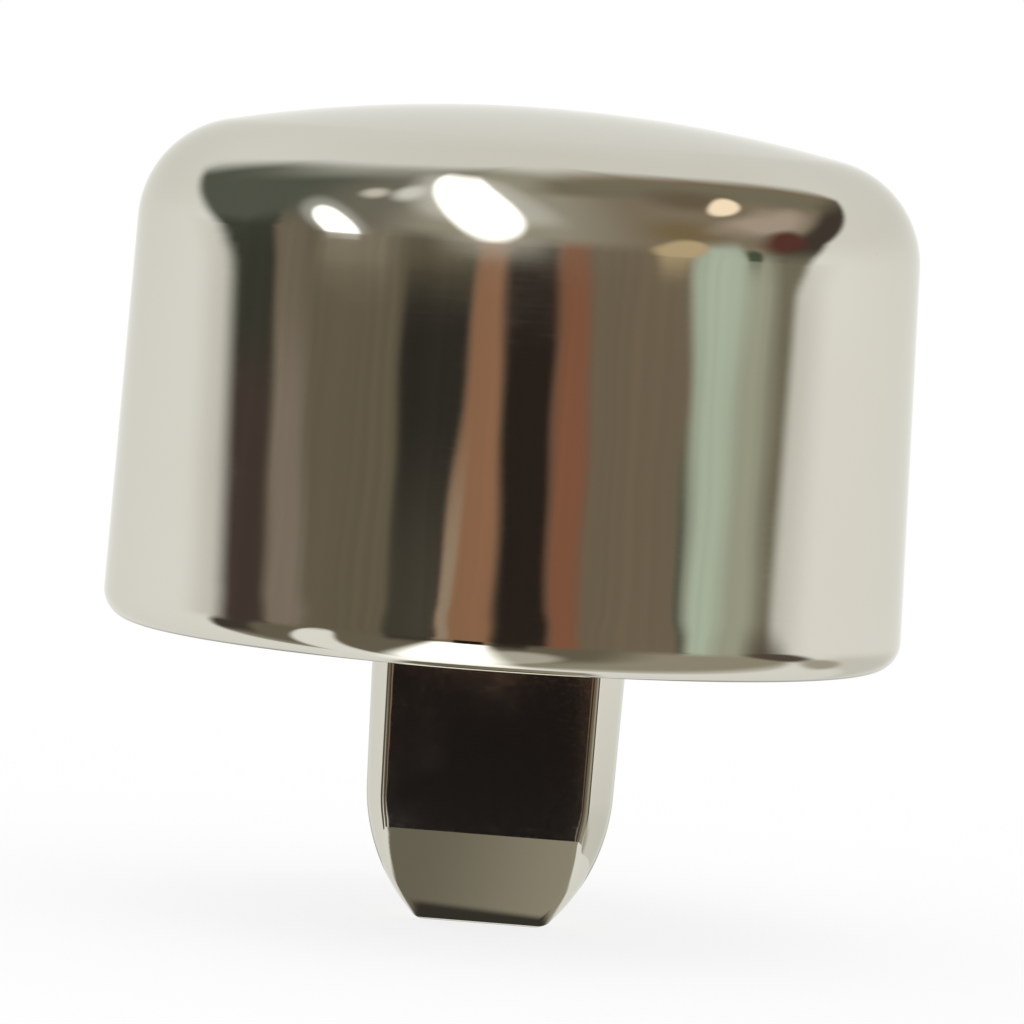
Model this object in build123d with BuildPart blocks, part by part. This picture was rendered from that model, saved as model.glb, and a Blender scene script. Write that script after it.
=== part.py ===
"""Stove knob, die cast in one piece and chromed all over.

A round cap with a gently domed crown stands on a short D-shaped stem, which plugs into the stove's control.
The cap is cored from below, so that its skirt and crown are walls and the stem stands free inside them.
The origin is on the axis in the plane of the rim. +Z points to the crown, and the stem's flat faces -Y.
"""

import os
from math import asin, degrees, radians, sin, tan

from build123d import *

# Cap, in millimetres and degrees
rim_diameter = 18.8
cap_height = 12.6  # rim plane to the top of the crown
wall_draft = 1.3
crown_radius = 34.0
crown_edge_radius = 2.5
rim_outer_radius = 0.7

# Core, the hollow under the cap
skirt_thickness = 1.6  # at the rim
crown_thickness = 2.6  # on the axis
core_draft = 1.0
core_end_chamfer = 0.8
rim_inner_chamfer = 0.3

# Stem
stem_diameter = 6.0  # in the rim plane
stem_reach = 6.6  # rim plane to the tip
stem_draft = 1.5
stem_root_radius = 0.8
flat_distance = 1.7  # axis to the flat, in the rim plane
flat_edge_radius = 0.2

# Rounded nose of the stem, and the slanted lead-in that ends its flat
nose_length = 3.1
nose_arc_radius = 4.5
lead_in_length = 2.2
lead_in_angle = 20.0
tip_edge_radius = 0.3

rim_radius = rim_diameter / 2
core_radius = rim_radius - skirt_thickness
core_depth = cap_height - crown_thickness
stem_radius = stem_diameter / 2
wall_slope = tan(radians(wall_draft))
core_slope = tan(radians(core_draft))
stem_slope = tan(radians(stem_draft))

# The nose arc leaves the drafted side without a kink and turns inwards until it has dropped by the nose's length.
nose_start = stem_reach - nose_length
nose_turn = degrees(asin(nose_length / nose_arc_radius + sin(radians(stem_draft)))) - stem_draft

# Distances from the axis at the ceiling of the core, where the lead-in starts, and at the tip
core_at_ceiling = core_radius - core_depth * core_slope
stem_at_ceiling = stem_radius + core_depth * stem_slope
flat_at_ceiling = flat_distance + core_depth * stem_slope
lead_in_start = stem_reach - lead_in_length
flat_at_lead_in = flat_distance - lead_in_start * stem_slope
lead_in_at_tip = flat_at_lead_in - lead_in_length * tan(radians(lead_in_angle))

with BuildPart() as knob:
    # Half section of the cap and the stem, turned about the axis
    with BuildSketch(Plane.XZ) as section:
        # drafted wall under a crown that is an arc of a large circle
        with BuildLine():
            Polyline(
                (0, 0),
                (rim_radius, 0),
                (rim_radius - cap_height * wall_slope, cap_height),
                (0, cap_height),
                close=True,
            )
        make_face()
        with Locations((0, cap_height - crown_radius)):
            Circle(crown_radius, mode=Mode.INTERSECT)
        # core, which leaves the skirt and the crown
        with BuildLine():
            Polyline(
                (0, 0),
                (core_radius, 0),
                (core_at_ceiling, core_depth),
                (0, core_depth),
                close=True,
            )
        make_face(mode=Mode.SUBTRACT)
        # stem, from the ceiling of the core to its rounded nose
        with BuildLine():
            side = Line(
                (stem_at_ceiling, core_depth),
                (stem_radius - nose_start * stem_slope, -nose_start),
            )
            nose = JernArc(side @ 1, side % 1, nose_arc_radius, -nose_turn)
            Polyline(nose @ 1, (0, -stem_reach), (0, core_depth), side @ 0)
        make_face()
        # edges of the cap, each found by the corner it stands nearest to
        fillet(section.vertices().sort_by_distance((rim_radius, cap_height))[0], crown_edge_radius)
        fillet(section.vertices().sort_by_distance((rim_radius, 0))[0], rim_outer_radius)
        chamfer(section.vertices().sort_by_distance((core_radius, 0))[0], rim_inner_chamfer)
        chamfer(section.vertices().sort_by_distance((core_at_ceiling, core_depth))[0], core_end_chamfer)
    revolve(axis=Axis.Z)

    # Flat of the stem with its lead-in, cut away on the -Y side
    with BuildSketch(Plane.YZ):
        with BuildLine():
            Polyline(
                (-flat_at_ceiling, core_depth),
                (-flat_at_lead_in, -lead_in_start),
                (-lead_in_at_tip, -stem_reach),
                (-stem_at_ceiling, -stem_reach),
                (-stem_at_ceiling, core_depth),
                close=True,
            )
        make_face()
    extrude(amount=stem_at_ceiling, both=True, mode=Mode.SUBTRACT)

    # Soft edges along both sides of the flat, round the stem's root and round its tip
    flat_faces = knob.faces().filter_by(GeomType.PLANE).filter_by(Plane.XY, reverse=True)
    fillet(flat_faces.edges().filter_by(Axis.X, reverse=True), flat_edge_radius)
    ceiling = knob.faces().filter_by(Plane.XY).sort_by(Axis.Z)[-1]
    fillet(ceiling.inner_wires()[0].edges(), stem_root_radius)
    tip = knob.faces().filter_by(Plane.XY).sort_by(Axis.Z)[0]
    fillet(tip.edges(), tip_edge_radius)

knob.part.label = "knob"

os.makedirs("parts", exist_ok=True)
export_step(knob.part, "parts/knob.step")
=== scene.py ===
import math

import bpy
import numpy as np
from mathutils import Matrix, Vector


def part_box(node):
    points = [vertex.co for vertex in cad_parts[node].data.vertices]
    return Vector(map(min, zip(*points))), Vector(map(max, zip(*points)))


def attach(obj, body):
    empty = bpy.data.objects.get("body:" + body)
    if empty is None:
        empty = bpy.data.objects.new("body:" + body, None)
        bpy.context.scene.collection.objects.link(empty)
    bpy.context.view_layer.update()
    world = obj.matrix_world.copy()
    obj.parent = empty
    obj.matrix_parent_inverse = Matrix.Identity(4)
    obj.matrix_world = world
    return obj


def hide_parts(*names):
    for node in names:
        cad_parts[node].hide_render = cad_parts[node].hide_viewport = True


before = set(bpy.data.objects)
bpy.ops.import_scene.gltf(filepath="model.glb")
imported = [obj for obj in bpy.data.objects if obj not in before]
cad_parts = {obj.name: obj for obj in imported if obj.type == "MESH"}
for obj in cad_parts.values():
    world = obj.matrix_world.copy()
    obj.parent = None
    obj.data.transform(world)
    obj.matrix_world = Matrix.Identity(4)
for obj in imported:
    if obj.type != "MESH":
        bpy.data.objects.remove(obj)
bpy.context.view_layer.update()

# Knob: one zinc die casting, buffed bright and plated with copper, nickel and chrome.
# Cap and stem are cast together. The cap is cored from below, and the stem grows out of the core's ceiling.
# It is one closed skin here, so that the plating mirrors its surroundings without facets.
knob_low, knob_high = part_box("knob")
cap_height = knob_high[2]
stem_reach = -knob_low[2]
rim_radius = 9.4e-3
wall_draft = math.radians(1.3)
crown_radius = 34e-3
crown_thickness = 2.6e-3
crown_edge = 2.5e-3
rim_edge = 0.7e-3
core_radius = 7.8e-3
core_draft = math.radians(1.0)
core_depth = cap_height - crown_thickness
core_chamfer = 0.8e-3
rim_chamfer = 0.3e-3
stem_radius = 3.0e-3
stem_draft = math.radians(1.5)
stem_root = 0.8e-3
flat_distance = 1.7e-3
flat_edge = 0.2e-3
nose_length = 3.1e-3
nose_arc = 4.5e-3
lead_in_length = 2.2e-3
lead_in_angle = math.radians(20)
tip_edge = 0.3e-3


def arc(centre, radius, start, end, count):
    """Points centre + radius (cos a, sin a) of a half section, at count angles a from start to end."""
    a = np.linspace(start, end, count)
    return np.stack([centre[0] + radius * np.cos(a), centre[1] + radius * np.sin(a)], axis=1)


def run(start, end, count):
    """Points that divide a straight line from start to end evenly, without its two ends."""
    t = np.linspace(0, 1, count + 2)[1:-1, None]
    return np.asarray(start) * (1 - t) + np.asarray(end) * t


def cap_section():
    """Half section of the cap: from the top of the crown over the outside, round the rim and up the core.

    The crown is an arc about a point on the axis. The crown's edge is an arc that touches the crown and the
    drafted wall: its centre lies one edge radius inside both, so it is where a circle of crown - edge about
    the crown's middle crosses the wall's inner parallel. The rim's arc touches the wall and the rim plane
    likewise.
    """
    cos, sin = math.cos(wall_draft), math.sin(wall_draft)
    middle = np.array([0.0, cap_height - crown_radius])
    inner = rim_radius * cos - crown_edge
    a = 1 + (sin / cos) ** 2
    b = -2 * inner * sin / cos**2 - 2 * middle[1]
    c = (inner / cos) ** 2 + middle[1] ** 2 - (crown_radius - crown_edge) ** 2
    high = (-b + math.sqrt(b * b - 4 * a * c)) / (2 * a)
    edge = np.array([(inner - high * sin) / cos, high])
    meet = math.atan2(edge[1] - middle[1], edge[0])
    crown = arc(middle, crown_radius, math.pi / 2, meet, 20)[1:]
    shoulder = arc(edge, crown_edge, meet, wall_draft, 26)[1:]
    rim_middle = np.array([(rim_radius * cos - rim_edge - rim_edge * sin) / cos, rim_edge])
    rim = arc(rim_middle, rim_edge, wall_draft, -math.pi / 2, 14)
    wall = run(shoulder[-1], rim[0], 11)
    ceiling_radius = core_radius - core_depth * math.tan(core_draft)
    core_sin, core_cos = math.sin(core_draft), math.cos(core_draft)
    core = np.array(
        [
            [core_radius + rim_chamfer, 0.0],
            [core_radius - rim_chamfer * core_sin, rim_chamfer * core_cos],
            [ceiling_radius + core_chamfer * core_sin, core_depth - core_chamfer * core_cos],
            [ceiling_radius - core_chamfer, core_depth],
        ]
    )
    hollow = np.concatenate([core[:2], run(core[1], core[2], 9), core[2:]])
    return np.concatenate([crown, shoulder, wall, rim, hollow])


def stem_section():
    """Rings of the stem from the core's ceiling to its tip: radius, flat's distance, edge radius and height.

    Round side and flat are each a line in a half section. Both start on the root's arc, run down with the
    draft, and end on a small arc of radius tip_edge that touches the end face. The round side turns in on the
    nose's arc before that, and the flat breaks into the lead-in. The edge between them has radius flat_edge,
    and as much more as the root spreads out.
    """
    slope = math.tan(stem_draft)
    spread = stem_root / math.tan((math.pi / 2 - stem_draft) / 2)
    a = np.linspace(math.pi / 2, math.pi - stem_draft, 10)
    root_z = core_depth - stem_root + stem_root * np.sin(a)
    root_out = core_depth * slope + spread + stem_root * np.cos(a)
    nose_top = -stem_reach + nose_length
    lead_top = -stem_reach + lead_in_length
    tip_z = -stem_reach + tip_edge
    lead_end = tip_z - tip_edge * math.sin(lead_in_angle)
    upper = np.linspace(root_z[-1], nose_top, 16)[1:]
    middle = np.linspace(nose_top, lead_top, 6)[1:]
    lower = np.linspace(lead_top, tip_z, 16)[1:]
    ending = tip_z - tip_edge * np.sin(np.linspace(0, math.pi / 2, 13)[1:])
    z = np.concatenate([upper, middle, lower, ending])
    # round side: draft, then the nose's arc, then the tip's arc
    nose_in = stem_radius + nose_top * slope - nose_arc * math.cos(stem_draft)
    nose_z = nose_top + nose_arc * math.sin(stem_draft)
    drop = np.clip((nose_z - z) / nose_arc, -1, 1)
    nose = nose_in + nose_arc * np.sqrt(1 - drop**2)
    side = np.where(z > nose_top, stem_radius + z * slope, nose)
    tip_in = nose_in + math.sqrt((nose_arc - tip_edge) ** 2 - (tip_z - nose_z) ** 2)
    tip_top = tip_z - tip_edge * (nose_z - tip_z) / (nose_arc - tip_edge)
    tip_arc = np.sqrt(np.clip(tip_edge**2 - (z - tip_z) ** 2, 0, None))
    side = np.where(z < tip_top, tip_in + tip_arc, side)
    # flat: draft, then the lead-in, then the tip's arc
    lead = flat_distance + lead_top * slope + (z - lead_top) * math.tan(lead_in_angle)
    flat = np.where(z > lead_top, flat_distance + z * slope, lead)
    lead_tip = flat_distance + lead_top * slope + (tip_z - lead_top) * math.tan(lead_in_angle)
    lead_in = lead_tip - tip_edge / math.cos(lead_in_angle)
    flat = np.where(z < lead_end, lead_in + tip_arc, flat)
    root_edge = flat_edge + root_out - root_z * slope
    root = np.stack([stem_radius + root_out, flat_distance + root_out, root_edge, root_z], axis=1)
    shank = np.stack([side, flat, np.full_like(z, flat_edge), z], axis=1)
    return np.concatenate([root, shank])


def d_outline(radius, distance, edge, turn):
    """Distance from the axis of a D, a disc cut by a flat on -Y, in the directions turn, measured from -Y.

    The corner's arc has its centre c where a circle of radius - edge crosses the line distance - edge. A
    direction u on the flat's side of that arc meets the flat at distance / cos, one on the arc meets it at
    u.c + sqrt((u.c)^2 - c.c + edge^2), and the rest meet the disc.
    """
    away = np.abs((turn + math.pi) % (2 * math.pi) - math.pi)
    cx = np.sqrt((radius - edge) ** 2 - (distance - edge) ** 2)
    cy = distance - edge
    on_flat = np.arctan2(cx, distance)
    on_disc = np.arctan2(cx, cy)
    along = np.sin(away) * cx + np.cos(away) * cy
    corner = along + np.sqrt(np.clip(along**2 - cx**2 - cy**2 + edge**2, 0, None))
    flat = distance / np.cos(np.minimum(away, on_flat))
    return np.where(away < on_flat, flat, np.where(away < on_disc, corner, radius))


def knob_skin():
    """Points, quads and end fans of the knob: its half section turned about Z.

    The directions crowd at the corners of the D: they divide the integral of 1 + 6 exp(-((away - 57) / 4)^2)
    evenly, with away in degrees from the flat's middle.
    """
    count = 320
    fine = np.linspace(-math.pi, math.pi, 7201)
    crowd = 1 + 6 * np.exp(-(((np.abs(np.degrees(fine)) - 57) / 4) ** 2))
    total = np.concatenate([[0], np.cumsum((crowd[1:] + crowd[:-1]) / 2)])
    turn = np.interp(np.arange(count) / count * total[-1], total, fine)
    cap = cap_section()
    stem = stem_section()
    cap_rings = np.repeat(cap[:, :1], count, axis=1)
    stem_rings = d_outline(stem[:, :1], stem[:, 1:2], stem[:, 2:3], turn[None, :])
    shares = np.linspace(0, 1, 8)[1:-1, None]
    ceiling_rings = cap_rings[-1] * (1 - shares) + stem_rings[0] * shares
    end_rings = stem_rings[-1] * np.linspace(1, 0, 10)[1:-1, None]
    far = np.concatenate([cap_rings, ceiling_rings, stem_rings, end_rings])
    ceiling_z = np.full(len(ceiling_rings), core_depth)
    end_z = np.full(len(end_rings), -stem_reach)
    heights = np.repeat(np.concatenate([cap[:, 1], ceiling_z, stem[:, 3], end_z])[:, None], count, axis=1)
    rings = np.stack([far * np.sin(turn), -far * np.cos(turn), heights], axis=2)
    points = np.concatenate([[[0, 0, cap_height]], rings.reshape(-1, 3), [[0, 0, -stem_reach]]])
    here = 1 + np.arange(len(rings) * count).reshape(len(rings), count)
    there = np.roll(here, -1, axis=1)
    quads = np.stack([here[:-1], here[1:], there[1:], there[:-1]], axis=2).reshape(-1, 4)
    top = np.stack([np.zeros(count, int), here[0], there[0]], axis=1)
    end = np.stack([np.full(count, len(points) - 1), there[-1], here[-1]], axis=1)
    return points, quads, np.concatenate([top, end])


def add_surface(name, points, quads, fans):
    """A new object whose mesh has these points, quads and triangles."""
    mesh = bpy.data.meshes.new(name)
    mesh.vertices.add(len(points))
    mesh.vertices.foreach_set("co", points.ravel())
    mesh.loops.add(quads.size + fans.size)
    mesh.loops.foreach_set("vertex_index", np.concatenate([quads.ravel(), fans.ravel()]))
    mesh.polygons.add(len(quads) + len(fans))
    starts = np.concatenate([np.arange(len(quads)) * 4, quads.size + np.arange(len(fans)) * 3])
    mesh.polygons.foreach_set("loop_start", starts)
    mesh.update(calc_edges=True)
    mesh.validate()
    mesh.polygons.foreach_set("use_smooth", np.ones(len(mesh.polygons), bool))
    surface = bpy.data.objects.new(name, mesh)
    bpy.context.scene.collection.objects.link(surface)
    return surface


knob = add_surface("chromed_knob", *knob_skin())
knob.data.set_sharp_from_angle(angle=math.radians(14))

chrome = bpy.data.materials.new("bright_chrome")
chrome.use_nodes = True
nodes, links = chrome.node_tree.nodes, chrome.node_tree.links
shader = nodes["Principled BSDF"]
shader.inputs["Metallic"].default_value = 1.0
shader.inputs["Specular Tint"].default_value = (0.84, 0.84, 0.82, 1)
place = nodes.new("ShaderNodeTexCoord").outputs["Object"]


def noise(vector, scale, detail, roughness=0.5):
    """Noise whose patches are about 1 / scale metres wide."""
    node = nodes.new("ShaderNodeTexNoise")
    node.inputs["Scale"].default_value = scale
    node.inputs["Detail"].default_value = detail
    node.inputs["Roughness"].default_value = roughness
    links.new(vector, node.inputs["Vector"])
    return node.outputs["Fac"]


def between(value, low, high, to_low=0.0, to_high=1.0):
    """A value brought from the range low to high into the range to_low to to_high, with soft ends."""
    node = nodes.new("ShaderNodeMapRange")
    node.interpolation_type = "SMOOTHSTEP"
    node.inputs["From Min"].default_value = low
    node.inputs["From Max"].default_value = high
    node.inputs["To Min"].default_value = to_low
    node.inputs["To Max"].default_value = to_high
    links.new(value, node.inputs["Value"])
    return node.outputs["Result"]


def combine(operation, first, second):
    """One sum on two values, each of them a socket or a plain number."""
    node = nodes.new("ShaderNodeMath")
    node.operation = operation
    for value, socket in zip((first, second), node.inputs):
        if isinstance(value, (int, float)):
            socket.default_value = value
        else:
            links.new(value, socket)
    return node.outputs["Value"]


def tint(share, low, high):
    """A colour that goes from low to high with the share; each of them is a socket or a plain colour."""
    node = nodes.new("ShaderNodeMix")
    node.data_type = "RGBA"
    links.new(share, node.inputs["Factor"])
    sockets = [s for s in node.inputs if s.type == "RGBA"]
    for value, socket in zip((low, high), sockets):
        if isinstance(value, tuple):
            socket.default_value = (*value, 1)
        else:
            links.new(value, socket)
    return [s for s in node.outputs if s.type == "RGBA"][0]


def relief(height, depth, below=None):
    """Normal of a surface raised by height times depth metres, on top of the relief below it."""
    node = nodes.new("ShaderNodeBump")
    node.inputs["Strength"].default_value = 1.0
    node.inputs["Distance"].default_value = depth
    links.new(height, node.inputs["Height"])
    if below is not None:
        links.new(below, node.inputs["Normal"])
    return node.outputs["Normal"]


# round coordinates: buffing and the core both follow the axis
split = nodes.new("ShaderNodeSeparateXYZ")
links.new(place, split.inputs["Vector"])
axis_z = split.outputs["Z"]
squares = combine("ADD", combine("POWER", split.outputs["X"], 2), combine("POWER", split.outputs["Y"], 2))
from_axis = combine("SQRT", squares, 0)
turned = combine("ARCTAN2", split.outputs["Y"], split.outputs["X"])
round_place = nodes.new("ShaderNodeCombineXYZ")
links.new(combine("MULTIPLY", turned, 0.4e-3), round_place.inputs["X"])
links.new(from_axis, round_place.inputs["Y"])
links.new(axis_z, round_place.inputs["Z"])

# the plating thins out and stays dull in the core, where neither the buffing wheel nor the current reaches
within_skirt = between(from_axis, core_radius + 0.6e-3, core_radius + 0.9e-3, 1, 0)
below_crown = between(axis_z, core_depth + 0.4e-3, core_depth + 0.8e-3, 1, 0)
deep_in_core = between(axis_z, rim_chamfer, core_depth / 2)
dull = combine("MULTIPLY", combine("MULTIPLY", within_skirt, below_crown), deep_in_core)

buffing = noise(round_place.outputs["Vector"], 14000, 2)
smudge = noise(place, 190, 5, 0.6)
cloud = noise(place, 95, 2)
peel = noise(place, 2400, 2)
ripple = noise(place, 170, 1)
grit = noise(place, 5200, 3, 0.65)

pits = nodes.new("ShaderNodeTexVoronoi")
pits.inputs["Scale"].default_value = 620
links.new(place, pits.inputs["Vector"])
pit = combine("MULTIPLY", between(pits.outputs["Distance"], 0.03, 0.075, 1, 0), between(smudge, 0.56, 0.6))

bright = tint(between(cloud, 0.3, 0.7), (0.675, 0.66, 0.602), (0.642, 0.625, 0.562))
bright = tint(pit, bright, (0.52, 0.5, 0.45))
links.new(tint(dull, bright, (0.46, 0.45, 0.425)), shader.inputs["Base Color"])

haze = combine("ADD", between(smudge, 0.5, 0.72, 0.04, 0.095), between(buffing, 0.45, 0.8, 0, 0.03))
haze = combine("ADD", haze, combine("MULTIPLY", pit, 0.2))
haze = combine("ADD", haze, combine("MULTIPLY", dull, between(grit, 0.3, 0.7, 0.2, 0.34)))
links.new(haze, shader.inputs["Roughness"])

shape = relief(ripple, 5e-6)
shape = relief(peel, 0.25e-6, shape)
shape = relief(buffing, 0.06e-6, shape)
shape = relief(pit, -0.8e-6, shape)
shape = relief(combine("MULTIPLY", grit, dull), 9e-6, shape)
links.new(shape, shader.inputs["Normal"])

knob.data.materials.append(chrome)
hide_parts("knob")
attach(knob, "root")

# Floor: a sheet of white paper under the stem's tip, large enough to have no edge in view.
# Most of its white is an even glow, as of paper under bright lamps, and the rest keeps a faint shadow.
floor_reach = 1.5
glow_share = 0.8
corners = np.array([[-1, -1], [1, -1], [1, 1], [-1, 1]]) * floor_reach
sheet = np.column_stack([corners, np.full(4, -stem_reach)])
floor = add_surface("floor", sheet, np.array([[0, 1, 2, 3]]), np.empty((0, 3), int))
paper = bpy.data.materials.new("white_paper")
paper.use_nodes = True
paper_nodes, paper_links = paper.node_tree.nodes, paper.node_tree.links
matt = paper_nodes["Principled BSDF"]
matt.inputs["Base Color"].default_value = (1, 1, 1, 1)
matt.inputs["Roughness"].default_value = 1.0
matt.inputs["Specular IOR Level"].default_value = 0.0
glow = paper_nodes.new("ShaderNodeEmission")
glow.inputs["Strength"].default_value = 1.0
path = paper_nodes.new("ShaderNodeLightPath")
seen = None
for kind in ("Is Camera Ray", "Is Glossy Ray", "Is Transmission Ray"):
    total = paper_nodes.new("ShaderNodeMath")
    total.use_clamp = True
    paper_links.new(path.outputs[kind], total.inputs[0])
    total.inputs[1].default_value = 0.0
    if seen is not None:
        paper_links.new(seen, total.inputs[1])
    seen = total.outputs["Value"]
share = paper_nodes.new("ShaderNodeMath")
share.operation = "MULTIPLY"
share.inputs[1].default_value = glow_share
paper_links.new(seen, share.inputs[0])
blend = paper_nodes.new("ShaderNodeMixShader")
paper_links.new(share.outputs["Value"], blend.inputs["Fac"])
paper_links.new(matt.outputs["BSDF"], blend.inputs[1])
paper_links.new(glow.outputs["Emission"], blend.inputs[2])
paper_links.new(blend.outputs["Shader"], paper_nodes["Material Output"].inputs["Surface"])
floor.data.materials.append(paper)
floor.visible_glossy = False

# Studio: white light from all round, and two painted screens that only the chrome sees.
# Polished metal has no look of its own: it shows the white tent beside it and the dark room in front of it.
# Places on them are given as the camera sees them, which stands a few degrees round from the stem's flat.
world = bpy.data.worlds.new("white_tent")
world.use_nodes = True
world.node_tree.nodes["Background"].inputs["Color"].default_value = (1, 1, 1, 1)
world.node_tree.nodes["Background"].inputs["Strength"].default_value = 1.0
bpy.context.scene.world = world

tent_white = (1.0, 0.995, 0.96)
lamp_white = (2.2, 2.2, 2.15)
knob_middle = np.array([0, 0, 4e-3])
round_to_side = math.radians(4.1)


def soft(value, low, high):
    """Smooth step: 0 below low, 1 above high, and 3 t^2 - 2 t^3 between them."""
    t = np.clip((value - low) / (high - low), 0, 1)
    return t * t * (3 - 2 * t)


def inside(value, low, high, blur):
    """1 between low and high, with a smooth step of width blur over each end."""
    half = blur / 2
    return soft(value, low - half, low + half) * (1 - soft(value, high - half, high + half))


def spot(across, up, wide, tall, blur):
    """1 inside an ellipse with half axes wide and tall, and a smooth step of blur times its size round it."""
    return 1 - soft(np.hypot(across / wide, up / tall), 1 - blur / 2, 1 + blur / 2)


def lay(tone, colour, share):
    """A tone with a colour laid over it by its share."""
    return tone + (np.asarray(colour) - tone) * np.asarray(share)[..., None]


def upright_bands(az, el):
    """Colours at eye level: upright strips with leaning and wavering edges, and faint streaks along them.

    From the left they are dark, pale, olive, shadow, copper, black, russet, brown, green and grey.
    An edge has its azimuth at eye level, and leans by a share of the elevation.
    """
    level = np.clip(el, -6, 7)
    dark_end, olive_end = -69.2 - 0.6 * level, -31 - 0.2 * level
    copper_start, copper_end = -15 + 0.35 * level, -3.4 - 0.2 * level
    russet_start, russet_end = 10.4 - 0.3 * level, 19.2 - 0.25 * level
    green_start, green_end = 46.9 - 0.35 * level, 59.7 + 0.35 * level
    turn = az + 0.5 * np.sin(0.55 * el + 0.21 * az) + 0.3 * np.sin(1.3 * el - 0.13 * az)
    tone = np.zeros(az.shape + (3,)) + (0.172, 0.146, 0.1)
    tone = lay(tone, (0.28, 0.24, 0.18), inside(turn, -58, -36, 8) * soft(el, 4.5, 6.5))
    pale = inside(turn, dark_end, dark_end + 11.5, 7) * (1 - 0.6 * soft(el, 1, 5))
    tone = lay(tone, (0.28, 0.23, 0.185), pale)
    dark = inside(turn, -100, dark_end, 5)
    tone = lay(tone, (0.08, 0.057, 0.048), dark)
    tone = lay(tone, (0.055, 0.057, 0.043), dark * soft(el, 0.5, 4))
    shadow = inside(turn, olive_end, copper_start, 4.5) * (1 - 0.7 * soft(el, 4.2, 6.8))
    tone = lay(tone, (0.038, 0.034, 0.028), shadow)
    tone = lay(tone, (0.08, 0.072, 0.055), shadow * (1 - soft(el, -4, 2)))
    tone = lay(tone, (0.37, 0.193, 0.112), inside(turn, copper_start, copper_end, 3.5))
    gleam = inside(turn, copper_start - 0.2, copper_start + 3, 2) * (1 - soft(el, -3, 2))
    tone = lay(tone, (0.43, 0.33, 0.24), gleam)
    tone = lay(tone, (0.03, 0.022, 0.018), inside(turn, copper_end, russet_start, 4.5))
    tone = lay(tone, (0.30, 0.13, 0.076), inside(turn, russet_start, russet_end, 4.5))
    tone = lay(tone, (0.215, 0.172, 0.12), inside(turn, russet_end, green_start, 5))
    seam = inside(turn, green_start - 2.5, green_start + 0.5, 2.5) * (1 - soft(el, -1, 2))
    tone = lay(tone, (0.13, 0.14, 0.1), seam)
    green = soft(turn, green_start - 2, green_start + 4)
    tone = lay(tone, (0.46, 0.475, 0.375), green)
    tone = lay(tone, (0.56, 0.655, 0.535), green * (1 - soft(turn, green_end - 4, green_end + 4)))
    tone = lay(tone, (0.23, 0.215, 0.155), soft(turn, 66, 75))
    streaks = np.random.default_rng(4).normal(1, 0.035, 200)
    return tone * np.interp(turn, np.linspace(-130, 130, 200), streaks)[..., None]


def upper_walls(az, el, right, high):
    """Colours above eye level, up to the white tent, whose edge is at right beside them and high overhead."""
    tone = np.zeros(az.shape + (3,)) + (0.115, 0.128, 0.1)
    tone = lay(tone, (0.21, 0.197, 0.158), soft(az, -76, -48))
    tone = lay(tone, (0.41, 0.385, 0.31), soft(az, -46, -22))
    tone = lay(tone, (0.38, 0.38, 0.33), soft(el - high, -20, -6) * inside(az, -90, -40, 40))
    tone = lay(tone, (0.285, 0.235, 0.17), soft(az, 4, 34))
    tone = lay(tone, (0.24, 0.215, 0.15), inside(high - el, 9, 24, 9) * soft(az, -8, 14))
    tone = lay(tone, (0.25, 0.19, 0.12), inside(high - el, -4, 9, 5) * soft(az, 55, 90))
    tone = lay(tone, (0.55, 0.62, 0.53), inside(az, 48, 60, 5) * (1 - soft(el, 12, 24)))
    tone = lay(tone, (0.19, 0.15, 0.1), spot(az - 60, el - 53, 16, 8, 1.4))
    tone = lay(tone, (0.25, 0.185, 0.1), spot(az - 44, el - 27, 10, 9, 1.5))
    edge = soft(az, right - 22, right - 11) * soft(el, 5.5, 9) * (1 - soft(el, 33, 43))
    return lay(tone, (0.075, 0.058, 0.047), edge)


def small_things(tone, az, el):
    """A tone with small coloured things laid over it, as spots that sway with slow waves of both angles."""
    sway = 1.3 * np.sin(0.21 * el + 0.17 * az) + 0.8 * np.sin(0.33 * el - 0.29 * az)
    gold = spot(az - 41.5 + sway, el - 13 - 0.3 * (az - 41.5), 6.5, 7.6, 0.6) * soft(el, 5.7, 9)
    tone = lay(tone, (0.64, 0.5, 0.3), gold)
    tone = lay(tone, (0.09, 0.11, 0.07), spot(az - 64 + sway, el - 10, 3.5, 5, 0.7) * soft(el, 6, 9))
    tone = lay(tone, (0.53, 0.43, 0.355), spot(az - el - 41, el - 34 + sway, 16, 7.5, 1))
    return lay(tone, (0.13, 0.05, 0.04), spot(az - 76 + sway, el - 21.5 - 0.3 * (az - 76), 8.5, 6.5, 0.8))


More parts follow.
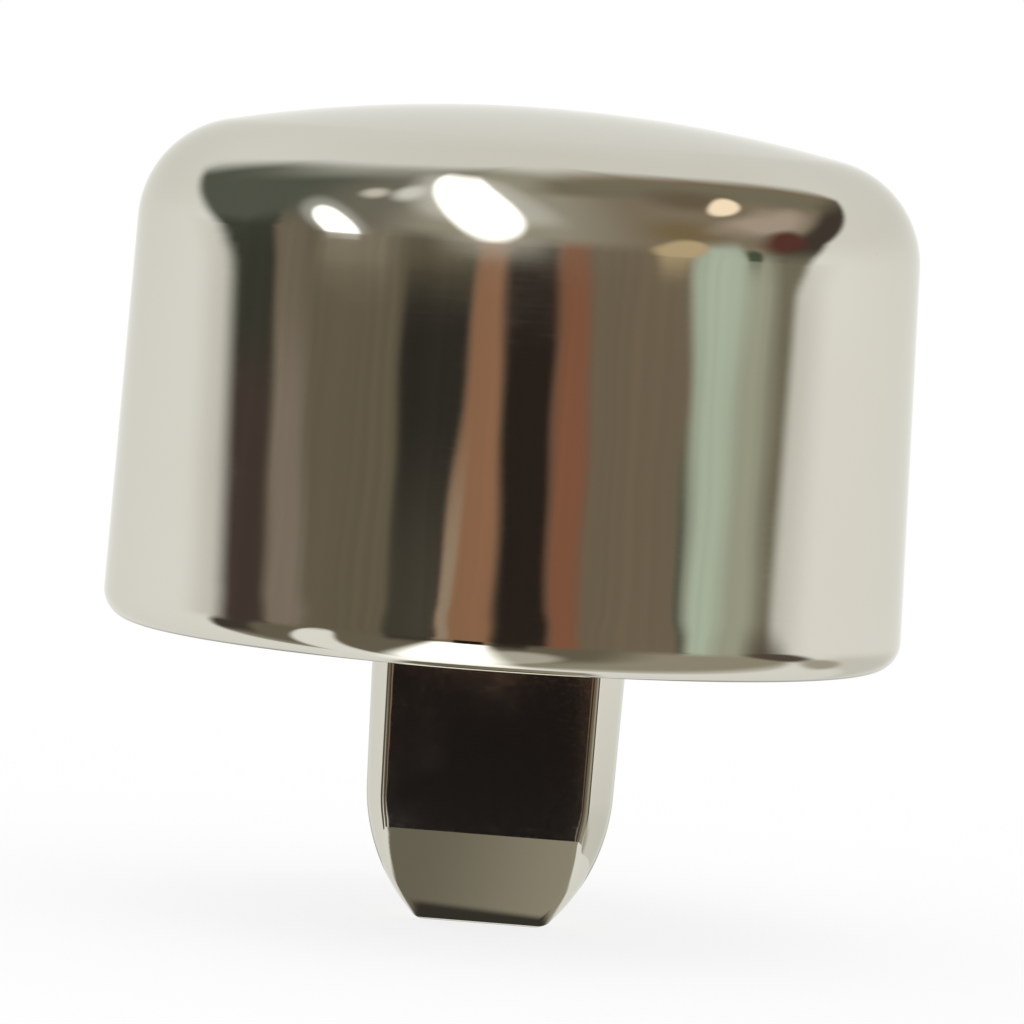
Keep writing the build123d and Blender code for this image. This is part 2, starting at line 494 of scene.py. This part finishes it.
def lamps(tone, az, el):
    """A tone with the lamps laid over it: two bright ones with a glow round them, and three small ones.

    A bright lamp is a tall spot that leans aside with the elevation. It is cut off at its foot, where the
    strips start, and the first one also at its upper end.
    """
    first = az + 9.6 + 0.007 * (el - 8) ** 2
    first_foot = soft(el, 7.5, 10.5)
    first_end = 1 - soft(el, 60, 70)
    glow = soft(el, 20, 34) * first_end
    tone = lay(tone, (0.8, 0.79, 0.73), spot(first - 4, el - 42, 18, 36, 0.6) * glow * 0.55)
    tone = lay(tone, (0.8, 0.79, 0.74), spot(first + 3, el - 44, 17, 37, 0.6) * glow * 0.5)
    tone = lay(tone, (0.7, 0.66, 0.58), spot(az + 8, el - 10, 13, 6, 1.2) * soft(el, 6.6, 8) * 0.5)
    tone = lay(tone, lamp_white, spot(first, el - 44, 12.2, 33.5, 0.25) * first_foot * first_end)
    second = az + 50 + 0.5 * (el - 6)
    second_foot = soft(el, 7.3, 9)
    tone = lay(tone, (0.8, 0.8, 0.76), spot(second, el - 18, 9, 14, 0.6) * second_foot * 0.45)
    tone = lay(tone, lamp_white, spot(second, el - 14.5, 6, 12, 0.3) * second_foot)
    tone = lay(tone, (0.74, 0.7, 0.63), spot(az + 50, el - 41.5, 4, 4, 1.3))
    tone = lay(tone, (0.85, 0.85, 0.8), spot(az + 39.5, el - 45, 4.5, 6.5, 1.3))
    return lay(tone, (1.35, 1.12, 0.85), spot(az - 68, el - 47 - 0.45 * (az - 68), 9.5, 4.5, 0.5))


def lower_ground(az, el):
    """Colours below eye level: a table, pale behind and brown in front, with two bright lamp patches that the
    rim mirrors as its highlights.

    A place on it is measured in heights of the eye over it: ahead is cos az / tan(-el), and across is
    sin az / tan(-el).
    """
    deep = np.clip(-el, 1, 89.9)
    far = 1 / np.tan(np.radians(deep))
    across, ahead = far * np.sin(np.radians(az)), far * np.cos(np.radians(az))
    tone = np.zeros(az.shape + (3,)) + tent_white
    left, right = -79 - 0.42 * (deep - 8), 78 + 0.6 * (deep - 8)
    front = soft(ahead, -0.4, 0.22) * soft(az, left - 5, left + 3) * (1 - soft(az, right - 3, right + 5))
    tone = lay(tone, (0.385, 0.35, 0.27), front)
    tone = lay(tone, (0.18, 0.155, 0.112), front * (1 - soft(az, 24, 48)))
    tone = lay(tone, (0.36, 0.34, 0.27), inside(az, 8, 60, 20) * soft(deep, 40, 75) * front)
    dark_side = inside(az + 0.35 * (deep - 8), -83, -68, 6) * (1 - soft(deep, 30, 44))
    tone = lay(tone, (0.07, 0.058, 0.05), dark_side)
    tone = lay(tone, (0.055, 0.048, 0.04), inside(az, -31, -16, 4) * (1 - soft(deep, 12, 30)))
    tone = lay(tone, (0.6, 0.58, 0.5), spot(az - 6, deep - 56, 14, 24, 0.6) * 0.9)
    # two bright lamp patches low in front, seen only as the rim's painted highlights
    aslant = ahead + 1.02 * across + 0.42
    tone = lay(tone, (1.02, 1.02, 0.98), spot(aslant, ahead - 1.2, 0.15 + 0.08 * far, 1.9, 0.4))
    straight = inside(across, -0.28 - 0.22 * ahead, 0.02 - 0.07 * ahead, 0.12 + 0.06 * far)
    tone = lay(tone, lamp_white, straight * inside(ahead, -0.15, 3, 1))
    tone = lay(tone, (0.05, 0.042, 0.036), inside(az, -2.5, 7, 2.5) * (1 - soft(deep, 14, 34)))
    tone = lay(tone, (0.83, 0.825, 0.77), inside(az, 104, 156, 20) * inside(deep, 8, 32, 6))
    return lay(tone, (0.42, 0.41, 0.385), (1 - inside(az, -163, 163, 14)) * inside(deep, 0, 40, 16))


def room_tone(az, el):
    """Colour of the room in a direction, az measured from -Y towards +X and el upwards, in degrees.

    The tent is white at the sides, behind and overhead. Its front is open from left to right and up to high,
    and shows strips at eye level, plainer walls above them, small things and lamps. The table lies below,
    with a dark and a grey thing to the right and a black card before the stem's flat.
    """
    left = np.interp(el, [-5, 5, 7, 17, 30], [-82, -88.5, -96, -106.5, -122.5])
    right = np.interp(el, [-4, 5.5, 7, 12, 20, 30, 38], [74.5, 77.5, 81.5, 84.5, 91, 108, 122])
    high = np.interp(az, [-121, -98, -64, -30, 60, 90, 110, 126], [31, 51.5, 67.5, 79, 80, 71, 58, 39])
    walls_start = np.interp(az, [-84, -70, -40], [14, 29, 19])
    tone = lay(upright_bands(az, el), upper_walls(az, el, right, high), soft(el, 4.5, walls_start))
    tone = lamps(small_things(tone, az, el), az, el)
    beside = soft(az, left - 4, left + 5) * (1 - soft(az, right - 1.5, right + 4))
    # The tent's white is painted with light and shade: a little brighter to the right, greyer beside its open
    # front at eye level, and greyer going up, most of all overhead.
    tent = lay(np.zeros(az.shape + (3,)) + tent_white, (1.04, 1.035, 1.0), soft(az, 40, 90))
    tent = lay(tent, (0.77, 0.76, 0.71), inside(az, left - 9, right + 9, 18) * (1 - soft(el, 4, 10)))
    tent = lay(tent, (0.935, 0.93, 0.89), soft(el, 4, 22))
    tent = lay(tent, (0.87, 0.865, 0.82), soft(el, 40, 75))
    tone = lay(tent, tone, beside * (1 - soft(el, high - 9, high + 8)))
    tone = lay(tone, lower_ground(az, el), 1 - soft(el, -20, -6))
    tone = lay(tone, (0.12, 0.092, 0.072), spot(az - 82, el + 15 + 0.4 * (az - 82), 14, 7, 0.7))
    tone = lay(tone, (0.5, 0.47, 0.4), spot(az - 106, el + 27 + 0.35 * (az - 106), 13, 7, 0.8))
    return lay(tone, (0.015, 0.012, 0.011), inside(az, -12.3, -4.5, 0.8) * inside(el, -18.5, -10.9, 0.8))


def table_tone(x, y):
    """Colour of the table near the stem's tip, at a place in millimetres: white, with painted shade in front.
    """
    tone = np.zeros(x.shape + (3,)) + tent_white
    # painted shade of the cap on the table in front of the stem, lighter towards +X
    shade = inside(x, -3.1, 2.9, 0.9) * inside(y, -7, -0.3, 0.8)
    tone = lay(tone, (0.2, 0.182, 0.14), shade)
    tone = lay(tone, (0.38, 0.345, 0.265), shade * soft(x, -2.2, 2.6))
    # painted contact shadow: darker still just in front of the tip
    return lay(tone, (0.05, 0.045, 0.038), inside(x, -1.7, 1.7, 0.5) * inside(y, -1.2, -0.5, 0.25))


def from_camera(across, away, up):
    """Points in the knob's frame, from places across, away and up as the camera sees them."""
    cos, sin = math.cos(round_to_side), math.sin(round_to_side)
    return np.stack([across * cos - away * sin, across * sin + away * cos, up], axis=-1)


def add_screen(name, points, colours):
    """A grid of points as one glowing sheet, with a colour for each point, which only reflections show."""
    rows, columns = points.shape[:2]
    index = np.arange(rows * columns).reshape(rows, columns)
    corners = [index[:-1, :-1], index[:-1, 1:], index[1:, 1:], index[1:, :-1]]
    quads = np.stack(corners, axis=2).reshape(-1, 4)
    screen = add_surface(name, points.reshape(-1, 3), quads, np.empty((0, 3), int))
    tones = screen.data.color_attributes.new("tone", "FLOAT_COLOR", "POINT")
    opaque = np.ones((rows * columns, 1))
    tones.data.foreach_set("color", np.hstack([colours.reshape(-1, 3), opaque]).astype(np.float32).ravel())
    paint = bpy.data.materials.new(name)
    paint.use_nodes = True
    paint.cycles.emission_sampling = "NONE"
    tree = paint.node_tree
    tree.nodes.remove(tree.nodes["Principled BSDF"])
    painted = tree.nodes.new("ShaderNodeVertexColor")
    painted.layer_name = "tone"
    light = tree.nodes.new("ShaderNodeEmission")
    tree.links.new(painted.outputs["Color"], light.inputs["Color"])
    tree.links.new(light.outputs["Emission"], tree.nodes["Material Output"].inputs["Surface"])
    screen.data.materials.append(paint)
    screen.visible_camera = False
    screen.visible_diffuse = False
    screen.visible_shadow = False


# the room: a ball round the knob
room_radius = 60e-3
az, el = np.meshgrid(np.linspace(-180, 180, 541), np.linspace(-90, 90, 271))
level = np.cos(np.radians(el))
ball = from_camera(level * np.sin(np.radians(az)), -level * np.cos(np.radians(az)), np.sin(np.radians(el)))
add_screen("room_screen", knob_middle + room_radius * ball, room_tone(az, el))

# the table: a ring just over the floor, close to the stem's tip, painted with the cap's shade for the chrome
# to mirror
table_hole, table_reach = 0.05e-3, 6e-3
table_height = -stem_reach + 0.05e-3
ring, far = np.meshgrid(np.radians(np.linspace(-180, 180, 241)), np.linspace(table_hole, table_reach, 80))
across, away = far * np.sin(ring), -far * np.cos(ring)
table = from_camera(across, away, np.full(ring.shape, table_height))
add_screen("table_screen", table, table_tone(across * 1e3, away * 1e3))

# Camera: a long lens a little above the knob's middle, turned on its own axis so that the knob leans.
# It stands a few degrees round from the stem's flat, so the flat sits left of the stem's middle.
eye = bpy.data.cameras.new("camera")
eye.sensor_width = 36
view_distance = 150e-3
view_width = 24.08e-3
eye.lens = eye.sensor_width * view_distance / view_width
eye.clip_start = 0.005
eye.clip_end = 10
camera = bpy.data.objects.new("camera", eye)
bpy.context.scene.collection.objects.link(camera)
lift, lean = math.radians(2.83), math.radians(4.1)
stand = knob_middle + view_distance * from_camera(0, -math.cos(lift), math.sin(lift))
aim = knob_middle + from_camera(0.052e-3, 0, -0.92e-3)
ahead = (aim - stand) / np.linalg.norm(aim - stand)
right = np.cross(ahead, [0, 0, 1])
right /= np.linalg.norm(right)
upward = np.cross(right, ahead)
pose = np.eye(4)
pose[:3, 0] = math.cos(lean) * right + math.sin(lean) * upward
pose[:3, 1] = math.cos(lean) * upward - math.sin(lean) * right
pose[:3, 2] = -ahead
pose[:3, 3] = stand
camera.matrix_world = Matrix(pose.tolist())
bpy.context.scene.camera = camera
bpy.context.scene.view_settings.view_transform = "Standard"
